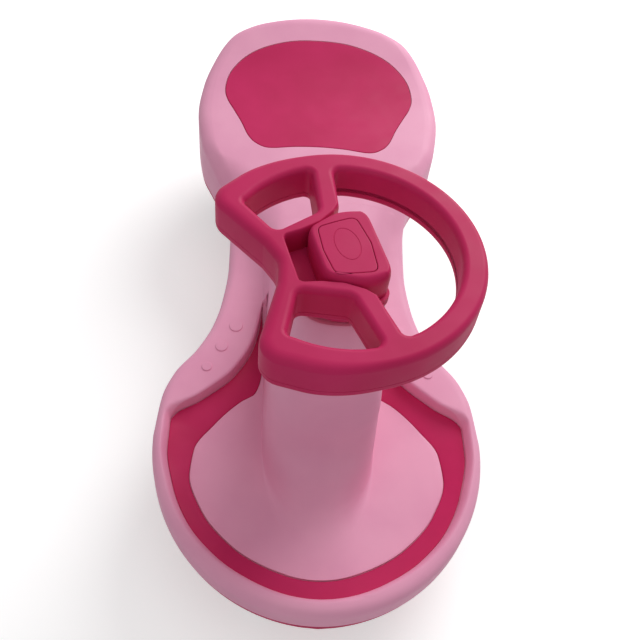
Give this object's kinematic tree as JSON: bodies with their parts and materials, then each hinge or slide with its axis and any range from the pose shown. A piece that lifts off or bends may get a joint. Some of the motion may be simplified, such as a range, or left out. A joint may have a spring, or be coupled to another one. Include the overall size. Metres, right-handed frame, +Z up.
{
  "type": "swing car",
  "caption": "Child's swing car: moulded body and seat, steering column with an offset steering bogie, rear wheels, anti-tip rollers and a horn button.",
  "frame": {"origin": "on the floor under the middle of the car's bounding box", "axes": "the nose of the car is -Y and its seat is towards +Y, +X is to the right of a viewer who faces the nose, +Z is up; the steering is turned as pictured"},
  "size_m": [0.332, 0.764, 0.382],
  "materials": {
    "light_pink": "smooth satin light pink polypropylene",
    "dark_pink": "satin dark pink polypropylene with a fine moulded grain",
    "zinc_steel": "bright zinc plate",
    "nylon": "natural nylon, turned",
    "wheel_plastic": "matt grey moulded plastic",
    "tread": "soft dark tread, matt"
  },
  "bodies": {
    "body": {"body_shell": "light_pink", "chassis_shell": "dark_pink", "foot_band": "dark_pink", "seat_pad": "dark_pink", "body_screw_1": "zinc_steel", "body_screw_2": "zinc_steel", "body_screw_3": "zinc_steel", "body_screw_4": "zinc_steel", "body_screw_5": "zinc_steel", "body_screw_6": "zinc_steel", "body_screw_7": "zinc_steel", "body_screw_8": "zinc_steel", "body_screw_9": "zinc_steel", "upper_shaft_bush": "nylon", "lower_shaft_bush": "nylon", "rear_axle": "zinc_steel", "rear_washer_left": "zinc_steel", "rear_washer_right": "zinc_steel", "rear_cap_left": "dark_pink", "rear_cap_right": "dark_pink", "roller_pin_left": "zinc_steel", "roller_pin_right": "zinc_steel"},
    "steering": {"wheel_upper_shell": "dark_pink", "wheel_lower_shell": "dark_pink", "wheel_screw_1": "zinc_steel", "wheel_screw_2": "zinc_steel", "wheel_screw_3": "zinc_steel", "wheel_screw_4": "zinc_steel", "wheel_screw_5": "zinc_steel", "wheel_screw_6": "zinc_steel", "horn_housing": "dark_pink", "horn_spring": "zinc_steel", "steering_wheel_bolt": "zinc_steel", "wheel_bolt_washer": "zinc_steel", "shaft_top_nut": "zinc_steel", "steering_shaft": "zinc_steel", "thrust_washer": "zinc_steel", "steering_yoke": "wheel_plastic", "yoke_cross_bolt": "zinc_steel", "yoke_cross_nut": "zinc_steel", "front_axle": "zinc_steel", "front_washer_left": "zinc_steel", "front_washer_right": "zinc_steel", "front_cap_left": "dark_pink", "front_cap_right": "dark_pink"},
    "front_wheel_left": {"front_hub_left": "wheel_plastic", "front_tyre_left": "tread"},
    "front_wheel_right": {"front_hub_right": "wheel_plastic", "front_tyre_right": "tread"},
    "rear_wheel_left": {"rear_hub_left": "wheel_plastic", "rear_tyre_left": "tread"},
    "rear_wheel_right": {"rear_hub_right": "wheel_plastic", "rear_tyre_right": "tread"},
    "roller_left": {"antitip_roller_left": "wheel_plastic"},
    "roller_right": {"antitip_roller_right": "wheel_plastic"},
    "horn": {"horn_button": "dark_pink"}
  },
  "joints": [
    {"name": "steering_turn", "type": "hinge", "parent": "body", "child": "steering", "pos_m": [0, -0.185, 0.2], "axis": [0, 0, 1], "continuous": true},
    {"name": "front_wheel_left_spin", "type": "hinge", "parent": "steering", "child": "front_wheel_left", "pos_m": [-0.05786, -0.14509, 0.038], "axis": [0.2689, -0.9632, 0], "continuous": true},
    {"name": "front_wheel_right_spin", "type": "hinge", "parent": "steering", "child": "front_wheel_right", "pos_m": [-0.02882, -0.24911, 0.038], "axis": [0.2689, -0.9632, 0], "continuous": true},
    {"name": "rear_wheel_left_spin", "type": "hinge", "parent": "body", "child": "rear_wheel_left", "pos_m": [-0.1015, 0.235, 0.05], "axis": [1, 0, 0], "continuous": true},
    {"name": "rear_wheel_right_spin", "type": "hinge", "parent": "body", "child": "rear_wheel_right", "pos_m": [0.1015, 0.235, 0.05], "axis": [1, 0, 0], "continuous": true},
    {"name": "roller_left_spin", "type": "hinge", "parent": "body", "child": "roller_left", "pos_m": [-0.055, -0.325, 0.025], "axis": [1, 0, 0], "continuous": true},
    {"name": "roller_right_spin", "type": "hinge", "parent": "body", "child": "roller_right", "pos_m": [0.055, -0.325, 0.025], "axis": [1, 0, 0], "continuous": true},
    {"name": "horn_press", "type": "slide", "parent": "steering", "child": "horn", "axis": [0, 0, -1], "range_m": [0, 0.002], "stiffness_N_per_m": 400, "springref_m": -0.002, "deforming": ["horn_spring"]}
  ]
}
